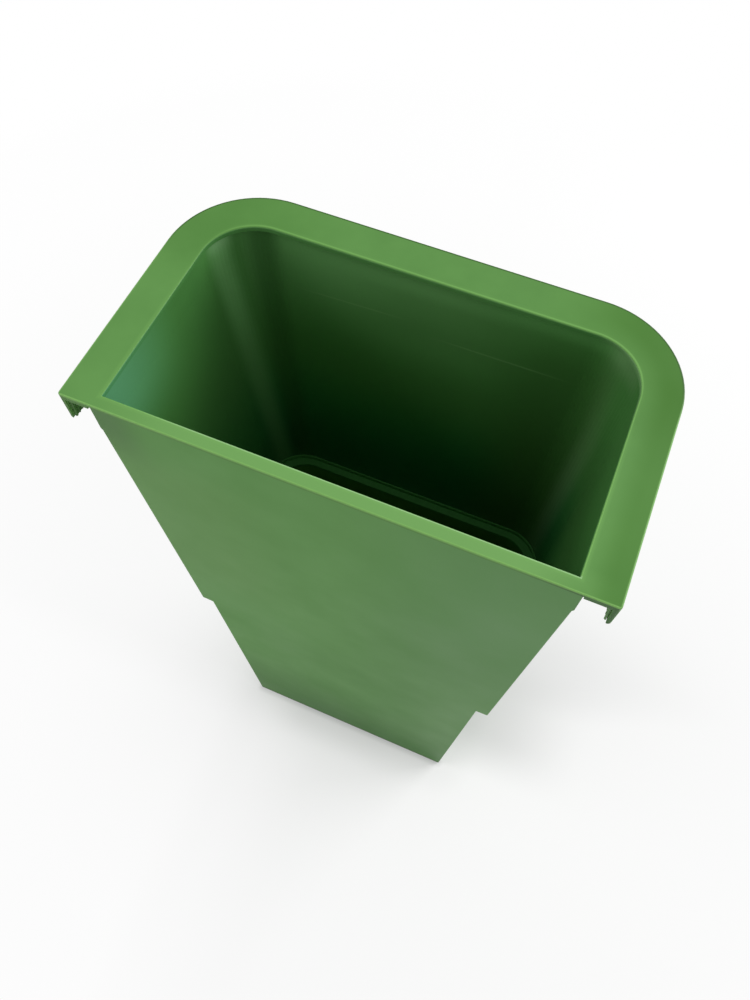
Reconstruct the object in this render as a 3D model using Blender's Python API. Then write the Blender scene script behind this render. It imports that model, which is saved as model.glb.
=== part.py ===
"""Slim compost bin that hangs on the end of a waste can by its down-turned rim lip.

Metres, +Z up. Origin at the bottom centre, flat front panel toward -Y, rounded back toward +Y.
"""
import math

import bmesh
import bpy

# Whole object
rim_width = 0.292
rim_depth = 0.166
overall_height = 0.512
seat_gap = 0.0003
corner_segments = 20
edge_segments = 4
sharp_angle = math.radians(30)

# Rim plate, mouth and lip
plate_thickness = 0.0041
rim_corner_radius = 0.0532
rim_edge_radius = 0.0006
rim_front_radius = 0.0015
mouth_side_overhang = 0.0009
mouth_back_overhang = 0.0032
mouth_front_overhang = 0.0036
mouth_corner_radius = 0.0306
mouth_edge_radius = 0.0008
lip_depth = 0.0213
lip_root_thickness = 0.0032
lip_tip_thickness = 0.0024
lip_tip_radius = 0.0009
wall_rebate_depth = 0.0012
panel_rebate_depth = 0.0019

# Hook channel between the lip and the collar, measured from the outside of the rim
side_channel = 0.0172
back_channel = 0.017

# Front panel and upper walls
panel_setback = 0.0006
panel_thickness = 0.0037
panel_edge_radius = 0.0008
collar_drop = 0.0226
collar_thickness = 0.0036
collar_radius = 0.0362
collar_step = 0.0008
collar_chamfer = 0.0014
wall_thickness = 0.0028
wall_taper = math.radians(2.46)

# Shoulder, sump and the ledge inside
shoulder_height = 0.2486
shoulder_radius = 0.0335
shoulder_side_step = 0.0086
shoulder_back_step = 0.0069
shoulder_fall = 0.0006
sump_taper = math.radians(2.45)
sump_radius = 0.0262
sump_wall = 0.0028
floor_thickness = 0.003
base_edge_radius = 0.0012
foot_flange_thickness = 0.0024
ledge_height = 0.0064
bead_height = 0.0037
bead_thickness = 0.0013

# Ribbed strips inside the lip
strip_backing = 0.0006
strip_bottom_clearance = 0.0004
strip_top_clearance = 0.0025
strip_front_inset = 0.0014
strip_corner_clearance = 0.002
rib_pitch = 0.0024
rib_root_width = 0.0011
rib_edge_width = 0.0007
rib_depth_top = 0.0009
rib_depth_bottom = 0.0004

# Colours
rim_green = (0.127, 0.296, 0.084, 1.0)
wall_green = (0.094, 0.230, 0.070, 1.0)
panel_green = (0.114, 0.230, 0.084, 1.0)
strip_green = (0.090, 0.205, 0.062, 1.0)
plastic_roughness = 0.42

# Levels and plan lines that several pieces share
cut_margin = 0.002
open_front_reach = 0.06
front_line = -rim_depth / 2
back_line = rim_depth / 2
half_rim = rim_width / 2
plate_underside = overall_height - plate_thickness
panel_front = front_line + panel_setback
panel_back = panel_front + panel_thickness
lip_bottom = overall_height - lip_depth
collar_half_width = half_rim - side_channel
collar_back = back_line - back_channel
collar_bottom = overall_height - collar_drop
wall_top = collar_bottom - collar_chamfer
wall_top_half_width = collar_half_width - collar_step
wall_top_radius = collar_radius - collar_step
wall_back = collar_back - collar_step
wall_slope = math.tan(wall_taper)
shoulder_half_width = wall_top_half_width - (wall_top - shoulder_height) * wall_slope
sump_back = wall_back - shoulder_back_step
sump_top = shoulder_height - shoulder_fall
wrap_foot = shoulder_height + foot_flange_thickness + seat_gap
panel_top = plate_underside + panel_rebate_depth - seat_gap
wrap_top = plate_underside + wall_rebate_depth - seat_gap
ledge_top = shoulder_height + ledge_height
bead_top = ledge_top + bead_height


def wall_section(z, inset, front):
    """Ring of the tapered wall at height z, moved inward by inset."""
    share = (z - shoulder_height) / (wall_top - shoulder_height)
    half_width = wall_top_half_width - (wall_top - z) * wall_slope
    radius = shoulder_radius + (wall_top_radius - shoulder_radius) * share
    return z, half_width - inset, front, wall_back - inset, radius - inset


def collar_section(z, inset, front):
    """Ring of the upright collar band at height z, moved inward by inset."""
    return z, collar_half_width - inset, front, collar_back - inset, collar_radius - inset


def sump_section(z, inset, front):
    """Ring of the tapered sump at height z, moved inward by inset."""
    half_width = shoulder_half_width - shoulder_side_step - (sump_top - z) * math.tan(sump_taper)
    return z, half_width - inset, front, sump_back - inset, sump_radius - inset


def rim_section(z, inset, front):
    """Ring of the rim outline at height z, moved inward by inset."""
    return z, half_rim - inset, front, back_line - inset, rim_corner_radius - inset


def lip_thickness(z):
    """Thickness of the drafted lip at height z."""
    share = (z - lip_bottom) / (plate_underside - lip_bottom)
    return lip_tip_thickness + (lip_root_thickness - lip_tip_thickness) * share


def quarter_round(radius):
    """Profile of a rounded edge from its end face to its side, as (recess, rise)."""
    points = []
    for step in range(edge_segments + 1):
        angle = math.pi / 2 * step / edge_segments
        points.append((radius * (1 - math.sin(angle)), radius * (1 - math.cos(angle))))
    return points


def corner_points(x, y, radius, first_angle, segments):
    """Quarter circle of a plan outline round the centre (x, y), one point if it is square."""
    if radius == 0.0:
        return [(x, y)]
    angles = [first_angle + math.pi / 2 * step / segments for step in range(segments + 1)]
    return [(x + radius * math.cos(angle), y + radius * math.sin(angle)) for angle in angles]


def plan_ring(half_width, front, back, radius, front_radius=0.0):
    """Plan outline with round back corners and square or slightly rounded front corners."""
    front_x = half_width - front_radius
    front_y = front + front_radius
    back_x = half_width - radius
    back_y = back - radius
    return (corner_points(-front_x, front_y, front_radius, math.pi, edge_segments)
            + corner_points(front_x, front_y, front_radius, -math.pi / 2, edge_segments)
            + corner_points(back_x, back_y, radius, 0.0, corner_segments)
            + corner_points(-back_x, back_y, radius, math.pi / 2, corner_segments))


def loft(name, sections):
    """Closed body through plan outlines of equal point count, given as (z, points)."""
    shape = bmesh.new()
    rings = []
    for z, points in sections:
        rings.append([shape.verts.new((x, y, z)) for x, y in points])
    shape.faces.new(list(reversed(rings[0])))
    shape.faces.new(rings[-1])
    sides = []
    for low, high in zip(rings, rings[1:]):
        for here in range(len(low)):
            after = (here + 1) % len(low)
            sides.append(shape.faces.new((low[here], low[after], high[after], high[here])))
    bmesh.ops.connect_verts_nonplanar(shape, angle_limit=math.radians(0.01), faces=sides)
    bmesh.ops.recalc_face_normals(shape, faces=shape.faces)
    mesh = bpy.data.meshes.new(name)
    shape.to_mesh(mesh)
    shape.free()
    return bpy.data.objects.new(name, mesh)


def ring_loft(name, levels, front_radius=0.0):
    """Loft of plan rings given as (z, half_width, front, back, radius)."""
    return loft(name, [(level[0], plan_ring(*level[1:], front_radius)) for level in levels])


def box(name, low, high):
    """Plain block between two opposite corners."""
    bpy.ops.mesh.primitive_cube_add(size=1.0)
    block = bpy.context.active_object
    block.name = name
    block.scale = [top - bottom for bottom, top in zip(low, high)]
    block.location = [(bottom + top) / 2 for bottom, top in zip(low, high)]
    block.users_collection[0].objects.unlink(block)
    return block


def combine(body, operation, tool):
    """Boolean of a hidden tool body on a finished piece."""
    cutters.objects.link(tool)
    tool.hide_render = True
    tool.display_type = "WIRE"
    step = body.modifiers.new(tool.name, "BOOLEAN")
    step.operation = operation
    step.object = tool
    step.solver = "EXACT"


def plastic(name, colour):
    material = bpy.data.materials.new(name)
    material.use_nodes = True
    shader = material.node_tree.nodes["Principled BSDF"]
    shader.inputs["Base Color"].default_value = colour
    shader.inputs["Roughness"].default_value = plastic_roughness
    shader.inputs["Metallic"].default_value = 0.0
    return material


def place(body, material):
    """Add a piece to the bin with its material, under the bin's empty."""
    pieces.objects.link(body)
    body.parent = bin_empty
    body.data.materials.append(material)


def settle(body):
    """Turn the modifiers of a piece into plain mesh, shaded smooth across its round faces."""
    graph = bpy.context.evaluated_depsgraph_get()
    mesh = bpy.data.meshes.new_from_object(body.evaluated_get(graph))
    mesh.name = body.name
    body.modifiers.clear()
    body.data = mesh
    mesh.polygons.foreach_set("use_smooth", [True] * len(mesh.polygons))
    mesh.set_sharp_from_angle(angle=sharp_angle)


for leftover in list(bpy.data.objects):
    bpy.data.objects.remove(leftover, do_unlink=True)

pieces = bpy.data.collections.new("compost_bin")
cutters = bpy.data.collections.new("cutters")
bpy.context.scene.collection.children.link(pieces)
bpy.context.scene.collection.children.link(cutters)
bin_empty = bpy.data.objects.new("compost_bin", None)
pieces.objects.link(bin_empty)

# Rim frame: flat flange round the mouth with a lip turned down on three sides
levels = [rim_section(lip_bottom + rise, recess, front_line)
          for recess, rise in quarter_round(lip_tip_radius)]
levels += [rim_section(overall_height - rise, recess, front_line + recess)
           for recess, rise in reversed(quarter_round(rim_edge_radius))]
rim_frame = ring_loft("rim_frame", levels, rim_front_radius)
place(rim_frame, plastic("rim_plastic", rim_green))

below_lip = lip_bottom - cut_margin
ahead = front_line - open_front_reach
levels = [rim_section(below_lip, lip_tip_thickness - lip_tip_radius, ahead)]
levels += [rim_section(lip_bottom + rise, lip_thickness(lip_bottom + rise) - recess, ahead)
           for recess, rise in quarter_round(lip_tip_radius)]
levels.append(rim_section(plate_underside, lip_thickness(plate_underside), ahead))
combine(rim_frame, "DIFFERENCE", ring_loft("cut_under_plate", levels))

mouth_inset = collar_thickness + mouth_side_overhang
mouth_half_width = collar_half_width - mouth_inset
mouth_back = collar_back - collar_thickness - mouth_back_overhang
mouth_front = panel_back + mouth_front_overhang
levels = [(plate_underside - cut_margin, mouth_half_width, mouth_front, mouth_back,
           mouth_corner_radius)]
for step in range(edge_segments + 1):
    angle = math.pi / 2 * step / (edge_segments + 1)
    flare = mouth_edge_radius * (1 - math.cos(angle))
    z = overall_height - mouth_edge_radius * (1 - math.sin(angle))
    levels.append((z, mouth_half_width + flare, mouth_front - flare, mouth_back + flare,
                   mouth_corner_radius + flare))
flare = mouth_edge_radius * 2
levels.append((overall_height + mouth_edge_radius / 2, mouth_half_width + flare,
               mouth_front - flare, mouth_back + flare, mouth_corner_radius + flare))
combine(rim_frame, "DIFFERENCE", ring_loft("cut_mouth", levels))

levels = [collar_section(z, -seat_gap, panel_back)
          for z in (plate_underside - cut_margin, plate_underside + wall_rebate_depth)]
combine(rim_frame, "DIFFERENCE", ring_loft("cut_wall_rebate", levels))

panel_slot = collar_half_width + seat_gap
slot_low = (-panel_slot, ahead, plate_underside - cut_margin)
slot_high = (panel_slot, panel_back + seat_gap, plate_underside + panel_rebate_depth)
combine(rim_frame, "DIFFERENCE", box("cut_panel_rebate", slot_low, slot_high))

# Front panel and sump in one moulding, with the shoulder flange and the bead on its ledge
levels = [sump_section(rise, recess, panel_front + recess)
          for recess, rise in quarter_round(base_edge_radius)]
levels += [
    sump_section(sump_top, 0.0, panel_front),
    wall_section(shoulder_height, 0.0, panel_front),
    wall_section(wall_top, 0.0, panel_front),
    collar_section(collar_bottom, 0.0, panel_front),
    collar_section(panel_top, 0.0, panel_front),
]
panel_and_sump = ring_loft("panel_and_sump", levels, panel_edge_radius)
place(panel_and_sump, plastic("panel_plastic", panel_green))

behind_low = (-half_rim, panel_back, shoulder_height + foot_flange_thickness)
behind_high = (half_rim, back_line, overall_height)
combine(panel_and_sump, "DIFFERENCE", box("cut_behind_panel", behind_low, behind_high))

inside_panel = panel_front + panel_thickness / 2
bead_inset = wall_thickness + seat_gap
bead_root = shoulder_height + foot_flange_thickness / 2
levels = [wall_section(z, bead_inset, inside_panel) for z in (bead_root, bead_top)]
combine(panel_and_sump, "UNION", ring_loft("add_bead", levels))

levels = [sump_section(z, sump_wall, panel_back) for z in (floor_thickness, bead_top + cut_margin)]
combine(panel_and_sump, "DIFFERENCE", ring_loft("cut_sump", levels))

bead_inner = bead_inset + bead_thickness
levels = [wall_section(z, bead_inner, panel_back) for z in (ledge_top, bead_top + cut_margin)]
combine(panel_and_sump, "DIFFERENCE", ring_loft("cut_inside_bead", levels))

# Upper wrap: side and back wall in one U, its foot outside the bead and its top in the rebate
wrap_front = panel_back + seat_gap
levels = [
    wall_section(wrap_foot, 0.0, wrap_front),
    wall_section(wall_top, 0.0, wrap_front),
    collar_section(collar_bottom, 0.0, wrap_front),
    collar_section(wrap_top, 0.0, wrap_front),
]
upper_wrap = ring_loft("upper_wrap", levels)
place(upper_wrap, plastic("wall_plastic", wall_green))

levels = [
    wall_section(wrap_foot - cut_margin, wall_thickness, ahead),
    wall_section(wall_top, wall_thickness, ahead),
    collar_section(collar_bottom, collar_thickness, ahead),
    collar_section(wrap_top + cut_margin, collar_thickness, ahead),
]
combine(upper_wrap, "DIFFERENCE", ring_loft("cut_wrap_inside", levels))


def comb_outline(length, rib_depth):
    """Outline of a ribbed strip as (distance along, distance inward from the lip)."""
    count = int((length - rib_root_width) / rib_pitch) + 1
    first = (length - (count - 1) * rib_pitch) / 2
    outline = [(0.0, 0.0), (0.0, strip_backing)]
    for rib in range(count):
        centre = first + rib * rib_pitch
        outline.append((centre - rib_root_width / 2, strip_backing))
        outline.append((centre - rib_edge_width / 2, strip_backing + rib_depth))
        outline.append((centre + rib_edge_width / 2, strip_backing + rib_depth))
        outline.append((centre + rib_root_width / 2, strip_backing))
    outline.append((length, strip_backing))
    outline.append((length, 0.0))
    return outline


# Grip strips: thin backing with upright ribs, deeper at the top, one on each straight lip,
# stopping short of the plate so that the face that rests on the can's rim stays clear
side_start = front_line + strip_front_inset
side_length = back_line - rim_corner_radius - strip_corner_clearance - side_start
back_length = 2 * (half_rim - rim_corner_radius - strip_corner_clearance)
strip_levels = (
    (lip_bottom + strip_bottom_clearance, rib_depth_bottom),
    (plate_underside - strip_top_clearance, rib_depth_top),
)
strip_material = plastic("strip_plastic", strip_green)

for side, name in ((-1, "grip_strip_left"), (1, "grip_strip_right")):
    sections = []
    for z, rib_depth in strip_levels:
        face = half_rim - lip_thickness(z) - seat_gap
        outline = comb_outline(side_length, rib_depth)
        sections.append((z, [(side * (face - inward), side_start + along)
                             for along, inward in outline]))
    place(loft(name, sections), strip_material)

sections = []
for z, rib_depth in strip_levels:
    face = back_line - lip_thickness(z) - seat_gap
    outline = comb_outline(back_length, rib_depth)
    sections.append((z, [(along - back_length / 2, face - inward) for along, inward in outline]))
place(loft("grip_strip_back", sections), strip_material)

for body in (rim_frame, panel_and_sump, upper_wrap):
    settle(body)
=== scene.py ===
import math

import bpy
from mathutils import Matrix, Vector

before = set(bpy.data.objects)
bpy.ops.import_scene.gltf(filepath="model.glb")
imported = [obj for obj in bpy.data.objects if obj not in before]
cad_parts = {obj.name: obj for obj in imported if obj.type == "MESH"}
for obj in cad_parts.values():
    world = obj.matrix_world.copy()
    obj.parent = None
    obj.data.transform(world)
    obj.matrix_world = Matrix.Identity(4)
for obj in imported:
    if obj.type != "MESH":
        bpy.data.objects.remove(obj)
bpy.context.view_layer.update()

# Rim frame: flat flange round the mouth with a lip turned down on three sides.
# Injection-moulded polypropylene, green right through, from a satin tool: a soft even sheen,
# a faint cloudiness in the colour and a very fine grain that only shows close up.

mm = 0.001


def linear(hex_colour):
    """sRGB hex to linear RGBA."""
    channels = [int(hex_colour[at:at + 2], 16) / 255 for at in (1, 3, 5)]
    return [c / 12.92 if c <= 0.04045 else ((c + 0.055) / 1.055) ** 2.4 for c in channels] + [1.0]


def add(tree, kind, settings=None, links=None):
    """One shader node with its settings, and its inputs set or linked from other nodes' outputs."""
    node = tree.nodes.new(kind)
    for name, value in (settings or {}).items():
        setattr(node, name, value)
    for socket, value in (links or {}).items():
        if isinstance(value, bpy.types.NodeSocket):
            tree.links.new(value, node.inputs[socket])
        else:
            node.inputs[socket].default_value = value
    return node


def moulded_polypropylene(name, colour, cloud, cloud_size=45 * mm, sheen_low=0.44, sheen_high=0.52,
                          gloss=0.5, tone=None):
    """Satin moulded polypropylene: two close greens in soft clouds, fine grain, slight waviness."""
    material = bpy.data.materials.new(name)
    material.use_nodes = True
    tree = material.node_tree
    plastic = tree.nodes["Principled BSDF"]
    plastic.inputs["IOR"].default_value = 1.49
    plastic.inputs["Specular IOR Level"].default_value = gloss
    plastic.inputs["Metallic"].default_value = 0.0
    place = add(tree, "ShaderNodeTexCoord").outputs["Object"]
    clouds = add(tree, "ShaderNodeTexNoise", links={
        "Vector": place, "Scale": 1 / cloud_size, "Detail": 3.0, "Roughness": 0.55})
    share = add(tree, "ShaderNodeMapRange", links={
        "Value": clouds.outputs["Fac"], "From Min": 0.35, "From Max": 0.65})
    green = add(tree, "ShaderNodeMix", {"data_type": "RGBA"}, {
        0: share.outputs["Result"], 6: linear(colour), 7: linear(cloud)})
    shade = green.outputs[2]
    if tone:
        shade = tone(tree, place, shade)
    tree.links.new(shade, plastic.inputs["Base Color"])
    sheen = add(tree, "ShaderNodeMapRange", links={
        "Value": clouds.outputs["Fac"], "From Min": 0.3, "From Max": 0.7,
        "To Min": sheen_low, "To Max": sheen_high})
    tree.links.new(sheen.outputs["Result"], plastic.inputs["Roughness"])
    # the real grain is about 0.15 mm, drawn at 0.6 mm so that it shows at all
    grain = add(tree, "ShaderNodeTexNoise", links={
        "Vector": place, "Scale": 1 / (0.6 * mm), "Detail": 2.0})
    # flat walls of moulded plastic draw in by a few hundredths of a millimetre as they cool
    waves = add(tree, "ShaderNodeTexNoise", links={
        "Vector": place, "Scale": 1 / (40 * mm), "Detail": 1.0})
    wavy = add(tree, "ShaderNodeBump", links={
        "Height": waves.outputs["Fac"], "Strength": 1.0, "Distance": 0.06 * mm})
    grained = add(tree, "ShaderNodeBump", links={
        "Height": grain.outputs["Fac"], "Strength": 0.35, "Distance": 0.02 * mm,
        "Normal": wavy.outputs["Normal"]})
    tree.links.new(grained.outputs["Normal"], plastic.inputs["Normal"])
    return material


def finish_node(name, material):
    """Gives a piece of the frame its material in place of the plain one."""
    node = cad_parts[name]
    node.data.materials.clear()
    node.data.materials.append(material)


def in_millimetres(tree, place):
    """A place as three measures in millimetres: across the bin, in its depth and in its height."""
    scaled = add(tree, "ShaderNodeVectorMath", {"operation": "SCALE"}, {0: place, "Scale": 1 / mm})
    split = add(tree, "ShaderNodeSeparateXYZ", links={0: scaled.outputs[0]})
    return split.outputs[0], split.outputs[1], split.outputs[2]


def off_from(tree, measure, middle):
    """How far a measure lies from a middle, to either side."""
    apart = add(tree, "ShaderNodeMath", {"operation": "SUBTRACT"}, {0: measure, 1: middle})
    return add(tree, "ShaderNodeMath", {"operation": "ABSOLUTE"}, {0: apart.outputs[0]}).outputs[0]


def beyond_corner(tree, sideways, backward, side, back):
    """Distance past two straight edges, side and back, measured round the corner between them."""
    spot = add(tree, "ShaderNodeCombineXYZ", links={"X": sideways, "Y": backward})
    past = add(tree, "ShaderNodeVectorMath", {"operation": "SUBTRACT"}, {
        0: spot.outputs[0], 1: (side, back, 0.0)})
    past = add(tree, "ShaderNodeVectorMath", {"operation": "MAXIMUM"}, {
        0: past.outputs[0], 1: (0.0, 0.0, 0.0)})
    return add(tree, "ShaderNodeVectorMath", {"operation": "LENGTH"}, {
        0: past.outputs[0]}).outputs["Value"]


def soft_share(tree, *factors):
    """Product of shares. A ramp (measure, low, high) goes softly from 0 at low to 1 at high, or
    between the two values that follow them; any other factor is a share as it stands."""
    product = None
    for factor in factors:
        if isinstance(factor, tuple):
            measure, low, high, at_low, at_high = (factor + (0.0, 1.0))[:5]
            factor = add(tree, "ShaderNodeMapRange", {"interpolation_type": "SMOOTHSTEP"}, {
                "Value": measure, "From Min": low, "From Max": high,
                "To Min": at_low, "To Max": at_high}).outputs["Result"]
        product = factor if product is None else add(tree, "ShaderNodeMath", {
            "operation": "MULTIPLY"}, {0: product, 1: factor}).outputs[0]
    return product


def zone(tree, shade, colour, *factors):
    """The shade so far, blended toward a colour by the product of the factors' soft shares."""
    blend = add(tree, "ShaderNodeMix", {"data_type": "RGBA"}, {
        0: soft_share(tree, *factors), 6: shade, 7: linear(colour)})
    return blend.outputs[2]


def rim_painted_light(tree, place, shade):
    """Painted light and shade: a paler strip before the mouth, darker green on the corners and the
    right, bright edges.
    """
    across, depth, height = in_millimetres(tree, place)
    from_middle = off_from(tree, across, 0.0)
    on_top = soft_share(tree, (height, 507, 510.5))
    # distance outside the mouth, whose rear corners turn about points 93.7 mm to either side
    mouth_side, mouth_back, mouth_radius, mouth_front = 93.7, 28.6, 30.6, -75.1
    reach = beyond_corner(tree, from_middle, depth, mouth_side, mouth_back)
    past_curve = add(tree, "ShaderNodeMath", {"operation": "SUBTRACT"}, {0: reach, 1: mouth_radius})
    past_front = add(tree, "ShaderNodeMath", {"operation": "SUBTRACT"}, {0: mouth_front, 1: depth})
    outside = add(tree, "ShaderNodeMath", {"operation": "MAXIMUM"}, {
        0: past_curve.outputs[0], 1: past_front.outputs[0]}).outputs[0]
    # painted shade: a deeper green on the flange toward the right lip and in the rear corners
    toward_lip = soft_share(tree, (across, 75, 120), (outside, 0, 15), (depth, 55, 35, 0.41, 0.56))
    in_corner = soft_share(
        tree, (from_middle, 40, 105), (depth, -15, 45), (across, 0, 60, 0.28, 0.41))
    painted_corner_shade = add(tree, "ShaderNodeMath", {"operation": "ADD"}, {
        0: toward_lip, 1: in_corner}).outputs[0]
    shade = zone(tree, shade, "#407621", on_top, painted_corner_shade)
    # painted light: a paler strip on the flange before the mouth
    shade = zone(tree, shade, "#72A65A", (depth, -68, -76), (across, -140, -70), (across, 145, 95))
    # front edge: a painted highlight on its rounding, then painted shade falling off down the
    # narrow upright face, deepest on the right
    shade = zone(tree, shade, "#7FB560", (depth, -81.9, -82.4), (height, 511.0, 511.5))
    front = soft_share(tree, (depth, -82.5, -82.9), (height, 511.5, 511.1))
    shade = zone(tree, shade, "#5A9038", front)
    shade = zone(tree, shade, "#467B27", front, (height, 510.8, 509.6))
    shade = zone(tree, shade, "#33641F", front, (across, 85, 135))
    # outer edge, rounded about points 92.8 mm to either side: a painted highlight on the sides,
    # painted shade at the back
    outer_side, outer_back = 92.8, 29.8
    reach = beyond_corner(tree, from_middle, depth, outer_side, outer_back)
    shade = zone(tree, shade, "#7BAE60", on_top, (reach, 52.1, 52.7))
    shade = zone(tree, shade, "#3A6426", on_top, (reach, 51.7, 52.3), (depth, 15, 50))
    # toward the back the distance outside the mouth is taken 0.9 mm less, so that the painted shade
    # and highlights below sit 0.9 mm further back
    painted_edge_shift = soft_share(tree, (depth, 30, 55, 0.0, 0.9))
    outside = add(tree, "ShaderNodeMath", {"operation": "SUBTRACT"}, {
        0: outside, 1: painted_edge_shift}).outputs[0]
    # painted highlights: a pale halo and a bright line round the mouth, both stronger toward the
    # front
    halo = soft_share(tree, (outside, 3.0, 1.4), (depth, 20, -30, 0.05, 0.25))
    edge = soft_share(
        tree, (outside, 1.3, 0.8), (across, -150, -90), (depth, -60, 50, 0.95, 0.60))
    painted_mouth_highlight = add(tree, "ShaderNodeMath", {"operation": "MAXIMUM"}, {0: halo, 1: edge}).outputs[0]
    shade = zone(tree, shade, "#7AB25C", painted_mouth_highlight)
    # painted shade on the rounding of its back edge, and a painted highlight along its front edge
    shade = zone(tree, shade, "#4A7A30", (depth, 30, 55), (outside, 0.3, -0.3, 0.0, 0.5))
    shade = zone(
        tree, shade, "#92C080", (depth, -74.3, -75.0), (across, -110, -70), (outside, 1.2, 0.8))
    # upright face of the mouth: painted shade, with painted light at the back and the right corner
    # and a cooler painted reflection at the front left
    upright = soft_share(tree, (outside, 0.45, 0.15), (height, 511.95, 511.6))
    shade = zone(tree, shade, "#487F40", upright)
    shade = zone(tree, shade, "#528748", upright, (depth, 45, 57), (across, 100, 20))
    shade = zone(tree, shade, "#86A878", upright, (across, 90, 115), (depth, 5, 35, 0.0, 0.35))
    return zone(tree, shade, "#4E8E5C", upright, (across, -60, -118), (depth, 0, -78))


finish_node("rim_frame", moulded_polypropylene(
    "polypropylene_moulded_rim", "#63984D", "#5B8F46", gloss=0.3, tone=rim_painted_light))

# Front panel and sump: the flat front wall and the narrower cup under the shoulder in one
# moulding, with the ledge and the raised bead inside that carry the foot of the upper wall.
# The same moulded polypropylene, seen on its broad flat face as soft cloudy variations.

def panel_painted_light(tree, place, shade):
    """Painted shade toward the base and under the left end of the rim, painted light and shade
    across the face, a cooler green painted on the ledge inside.
    """
    across, depth, height = in_millimetres(tree, place)
    # painted shade on the lower third, a painted shadow under the left end of the rim, and painted
    # shade on the upper right
    shade = zone(tree, shade, "#3E732A", (height, 170, 30), (across, -85, 0, 0.62, 0.82))
    shade = zone(tree, shade, "#4C7E38", (across, -95, -120), (height, 440, 500))
    shade = zone(tree, shade, "#568D45", (across, -10, 100), (height, 180, 420))
    # painted shade on the right side at mid height and on all but the left end lower down, and
    # painted light on the upper left
    shade = zone(tree, shade, "#3E732A",
                 (across, -50, 90), (height, 460, 300), (height, 60, 140, 0.0, 0.32))
    shade = zone(tree, shade, "#3E732A",
                 (across, -85, -50), (height, 290, 200), (height, 30, 90, 0.0, 0.18))
    shade = zone(tree, shade, "#7A9C58",
                 (across, -10, -80), (height, 260, 340), (height, 500, 450, 0.0, 0.15))
    # painted shade, deepest just above the paper, and a thin painted contact shadow along the foot
    shade = zone(tree, shade, "#2C6B18", (height, 70, 15), (across, -90, -50, 0.0, 0.3))
    shade = zone(tree, shade, "#2A5520", (height, 7, 1.5, 0.0, 0.6))
    # the ledge and its bead, behind the panel: a cooler green painted for the light bounced down
    # into the sump
    return zone(tree, shade, "#4A9048",
                (depth, -80.5, -79), (height, 251, 252.5), (height, 263, 261))


finish_node("panel_and_sump", moulded_polypropylene(
    "polypropylene_moulded_panel", "#5A9741", "#56923D", cloud_size=60 * mm, gloss=0.3,
    tone=panel_painted_light))

# Upper wrap: the side and back wall in one U with large soft rear corners, its foot outside
# the bead and its thicker collar in the rebate under the rim. Moulded polypropylene again, its
# inside a little glossier where it came off the polished core of the mould.

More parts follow.
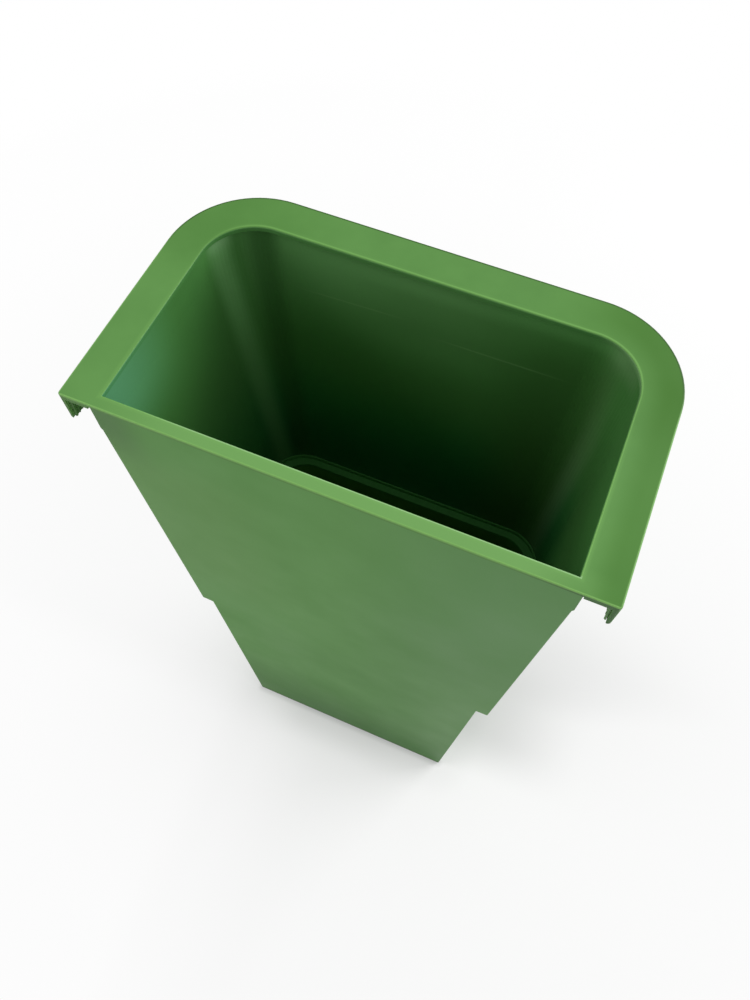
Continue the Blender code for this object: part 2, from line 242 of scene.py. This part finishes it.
def wall_painted_light(tree, place, shade):
    """Inside only, painted light and shade: a cool painted reflection, painted light on the back,
    painted shade toward the foot, painted reflections and shade in the corners.
    """
    across, depth, height = in_millimetres(tree, place)
    on_left = add(tree, "ShaderNodeMath", {"operation": "LESS_THAN"}, {
        0: across, 1: 0.0}).outputs[0]
    on_right = add(tree, "ShaderNodeMath", {"operation": "GREATER_THAN"}, {
        0: across, 1: 0.0}).outputs[0]
    on_back = soft_share(tree, (depth, 50, 60))
    outer_face = shade
    # painted shade: the whole inside is a darker green, cooler and deeper toward its foot
    inside_share = 0.85
    shade = zone(tree, shade, "#447A3D", inside_share)
    shade = zone(tree, shade, "#3A8440", (height, 420, 290))
    shade = zone(tree, shade, "#22703A", (height, 410, 290), (depth, 20, 62))
    # a painted cool reflection at the top of the left side, toward the front
    shade = zone(tree, shade, "#5C9C70", (across, -60, -118), (depth, 0, -78), (height, 435, 500))
    # the back: painted light in the middle and on the left, painted shade on the right and in a
    # band under the middle of the rim, and painted light again at the top on the right
    shade = zone(tree, shade, "#64995A", on_back, (height, 410, 505), (across, 85, 0))
    shade = zone(tree, shade, "#3C6C31", on_back, (across, 30, 80), (height, 508, 470))
    shade = zone(tree, shade, "#3C6C31", on_back, (across, -70, 0), (across, 70, 35),
                 (height, 500, 488), (height, 440, 468, 0.0, 0.4))
    shade = zone(tree, shade, "#66A45C", on_back, (across, 20, 60), (height, 492, 506, 0.0, 0.6))
    # angle round a rear corner in degrees, 0 at the side and 90 at the back; the corner turns
    # about a point 84 mm to the side at the foot and 92.6 mm at the top
    corner_depth = 31
    corner_side = add(tree, "ShaderNodeMapRange", links={
        "Value": height, "From Min": 250, "From Max": 488, "To Min": 84, "To Max": 92.6})
    behind = add(tree, "ShaderNodeMath", {"operation": "SUBTRACT"}, {0: depth, 1: corner_depth})
    beside = add(tree, "ShaderNodeMath", {"operation": "SUBTRACT"}, {
        0: off_from(tree, across, 0.0), 1: corner_side.outputs["Result"]})
    turn = add(tree, "ShaderNodeMath", {"operation": "ARCTAN2"}, {
        0: behind.outputs[0], 1: beside.outputs[0]})
    turn = add(tree, "ShaderNodeMath", {"operation": "DEGREES"}, {0: turn.outputs[0]}).outputs[0]
    # left corner: a painted shade trough beside a painted reflection streak that leans as it rises,
    # and painted shade high on the middle of the left side
    shade = zone(tree, shade, "#2B5925", on_left, (off_from(tree, turn, 68), 26, 4, 0.0, 0.62))
    shade = zone(tree, shade, "#2B5925", on_left, (depth, -30, 0), (depth, 30, 15),
                 (height, 440, 480, 0.0, 0.2))
    lean = add(tree, "ShaderNodeMapRange", links={
        "Value": height, "From Min": 290, "From Max": 490, "To Min": 36, "To Max": 22})
    streak = soft_share(tree, on_left, (off_from(tree, turn, lean.outputs["Result"]), 22, 2))
    shade = zone(tree, shade, "#70A867", streak, (height, 400, 470, 0.5, 0.78))
    shade = zone(tree, shade, "#9ABC96", streak, (height, 496, 508, 0.0, 0.25))
    # right side and corner: painted shade on the upper side, with a fainter painted reflection
    # streak
    shade = zone(tree, shade, "#32652C",
                 (across, 60, 100), (height, 370, 440), (turn, 60, 30, 0.0, 0.32))
    lean = add(tree, "ShaderNodeMapRange", links={
        "Value": height, "From Min": 430, "From Max": 480, "To Min": 47, "To Max": 58})
    streak = soft_share(tree, on_right, (off_from(tree, turn, lean.outputs["Result"]), 22, 2))
    shade = zone(tree, shade, "#7C9E70", streak, (height, 480, 360, 0.08, 0.32))
    shade = zone(tree, shade, "#7C9E70", on_right, (off_from(tree, turn, 45), 32, 8),
                 (height, 484, 504, 0.0, 0.3))
    # two faint lines rubbed across the back, 40 to 50 mm under the rim
    for level, slope, middle, half in ((469.8, 0.05, -50, 42), (460.6, 0.015, 45, 50)):
        line = add(tree, "ShaderNodeMath", {"operation": "MULTIPLY_ADD"}, {
            0: across, 1: slope, 2: level}).outputs[0]
        shade = zone(tree, shade, "#84B075", on_back,
                     (off_from(tree, across, middle), half, half * 0.3),
                     (off_from(tree, height, line), 0.9, 0.2, 0.0, 0.3))
    # faces that turn toward the middle of the bin are the inside ones
    turned_out = add(tree, "ShaderNodeVectorMath", {"operation": "DOT_PRODUCT"}, {
        0: place, 1: add(tree, "ShaderNodeTexCoord").outputs["Normal"]}).outputs["Value"]
    return add(tree, "ShaderNodeMix", {"data_type": "RGBA"}, {
        0: soft_share(tree, (turned_out, 0.0, -20 * mm)), 6: outer_face, 7: shade}).outputs[2]


finish_node("upper_wrap", moulded_polypropylene(
    "polypropylene_moulded_wall", "#5A9741", "#56923D", cloud_size=60 * mm,
    sheen_low=0.40, sheen_high=0.48, tone=wall_painted_light))

# Grip strips: thin ribbed strips bonded inside the lip, where they hold on to the edge of a
# waste can. Moulded polypropylene with the duller surface of small unpolished parts.

grip_plastic = moulded_polypropylene(
    "polypropylene_moulded_ribs", "#4C7C36", "#487833", cloud_size=15 * mm,
    sheen_low=0.5, sheen_high=0.6)
for strip in ("grip_strip_left", "grip_strip_right", "grip_strip_back"):
    finish_node(strip, grip_plastic)

# Studio: a wide flat sheet of white paper in even white surroundings, with a softbox behind on
# the right, a weaker one on the right and one on the left. The matt paper shows white to the
# camera away from the bin through a camera-only glow, and keeps at its foot the soft grey shadow
# of the lamps, deepened there by painted shadows.

scene = bpy.context.scene
sheet_size = 12.0
under_base = -0.3 * mm
bpy.ops.mesh.primitive_plane_add(size=sheet_size, location=(0, 0, under_base))
sweep = bpy.context.active_object
sweep.name = "white_paper_sweep"
paper = bpy.data.materials.new("matt_white_paper")
paper.use_nodes = True
tree = paper.node_tree
matt = tree.nodes["Principled BSDF"]
matt.inputs["Base Color"].default_value = linear("#F4F4F4")
matt.inputs["Roughness"].default_value = 0.9
matt.inputs["Specular IOR Level"].default_value = 0.0
ground = add(tree, "ShaderNodeTexCoord").outputs["Object"]
across, depth = in_millimetres(tree, ground)[:2]
# distance from the base, which reaches 98 mm to either side and 70 mm before and behind its middle
base_side, base_back, base_middle = 98, 70, -12.5
away = beyond_corner(tree, off_from(tree, across, 0.0), off_from(tree, depth, base_middle),
                     base_side, base_back)
# a camera-only glow paints the paper white away from the bin, by half of its gain at 60 mm,
# with more painted light beside the left of the base and before its left front
half_way, gain = 60, 0.56
further = add(tree, "ShaderNodeMath", {"operation": "ADD"}, {0: away, 1: half_way}).outputs[0]
clearing = add(tree, "ShaderNodeMath", {"operation": "DIVIDE"}, {0: away, 1: further}).outputs[0]
near_share = add(tree, "ShaderNodeMath", {"operation": "ADD"}, {
    0: soft_share(tree, (across, -85, -140, 0.36, 0.43)),
    1: soft_share(tree, (across, 0, -90, 0.0, 0.12), (depth, -70, -135))}).outputs[0]
share = add(tree, "ShaderNodeMath", {"operation": "MULTIPLY_ADD"}, {
    0: clearing, 1: gain, 2: near_share}).outputs[0]
share = add(tree, "ShaderNodeMath", {"operation": "MAXIMUM"}, {
    0: share, 1: soft_share(tree, (away, 200, 900))}).outputs[0]
# painted shadows that weaken the glow: a broad one to the right of the base, a thin one along the
# foot of the front panel and a darker line where the panel meets the paper
strength = soft_share(tree, (away, 200, 700, 0.97, 1.0))
broad_length = soft_share(tree, (depth, 0, 80, 140, 280))
for painted_shadow in (
        ((across, 60, 110, 0.0, 0.36), (depth, -82, -32), (depth, 190, 10),
         (depth, 10, 60, 1.0, 0.7), (away, broad_length, 0.0)),
        ((across, -90, -40), (away, 38, 5), (across, 20, 80, 0.18, 0.10)),
        ((depth, -78, -82), (away, 6, 0.0, 0.0, 0.3))):
    strength = add(tree, "ShaderNodeMath", {"operation": "SUBTRACT"}, {
        0: strength, 1: soft_share(tree, *painted_shadow)}).outputs[0]
glow = add(tree, "ShaderNodeEmission", links={"Color": linear("#FFFFFF"), "Strength": strength})
seen = soft_share(tree, add(tree, "ShaderNodeLightPath").outputs["Is Camera Ray"], share)
mixed = add(tree, "ShaderNodeMixShader", links={
    0: seen, 1: matt.outputs[0], 2: glow.outputs[0]})
tree.links.new(mixed.outputs[0], tree.nodes["Material Output"].inputs["Surface"])
sweep.data.materials.append(paper)

surroundings = bpy.data.worlds.new("white_studio")
scene.world = surroundings
surroundings.use_nodes = True
tree = surroundings.node_tree
even = tree.nodes["Background"]
even.inputs["Color"].default_value = linear("#FFFFFF")
even.inputs["Strength"].default_value = 0.43
white = add(tree, "ShaderNodeBackground", links={"Color": linear("#FFFFFF"), "Strength": 1.0})
ray = add(tree, "ShaderNodeLightPath")
mixed = add(tree, "ShaderNodeMixShader", links={
    0: ray.outputs["Is Camera Ray"], 1: even.outputs[0], 2: white.outputs[0]})
tree.links.new(mixed.outputs[0], tree.nodes["World Output"].inputs["Surface"])

near_rim = Vector((0, 0, 0.45))
for name, place, power in (
        ("back_right_softbox", (1.2, 1.2, 1.35), 28),
        ("right_softbox", (1.7, 0.0, 1.35), 7),
        ("left_softbox", (-1.6, -0.5, 1.35), 15)):
    lamp = bpy.data.lights.new(name, "AREA")
    lamp.shape = "SQUARE"
    lamp.size = 1.2
    lamp.energy = power
    softbox = bpy.data.objects.new(name, lamp)
    softbox.location = place
    softbox.rotation_euler = (near_rim - Vector(place)).to_track_quat("-Z", "Y").to_euler()
    scene.collection.objects.link(softbox)

# Camera: on a stand above the front edge of the bin, a little ahead of it and to its right,
# looking steeply down with a short lens, so that the base runs away from the wide rim.

view = bpy.data.cameras.new("photo_view")
view.sensor_fit = "VERTICAL"
view.sensor_height = 36.0
view.lens = 29.704
camera = bpy.data.objects.new("photo_view", view)
camera.location = (0.09188, -0.23840, 0.85728)
camera.rotation_euler = [math.radians(angle) for angle in (27.019, -0.225, 22.943)]
scene.collection.objects.link(camera)
scene.camera = camera

scene.view_settings.view_transform = "Standard"
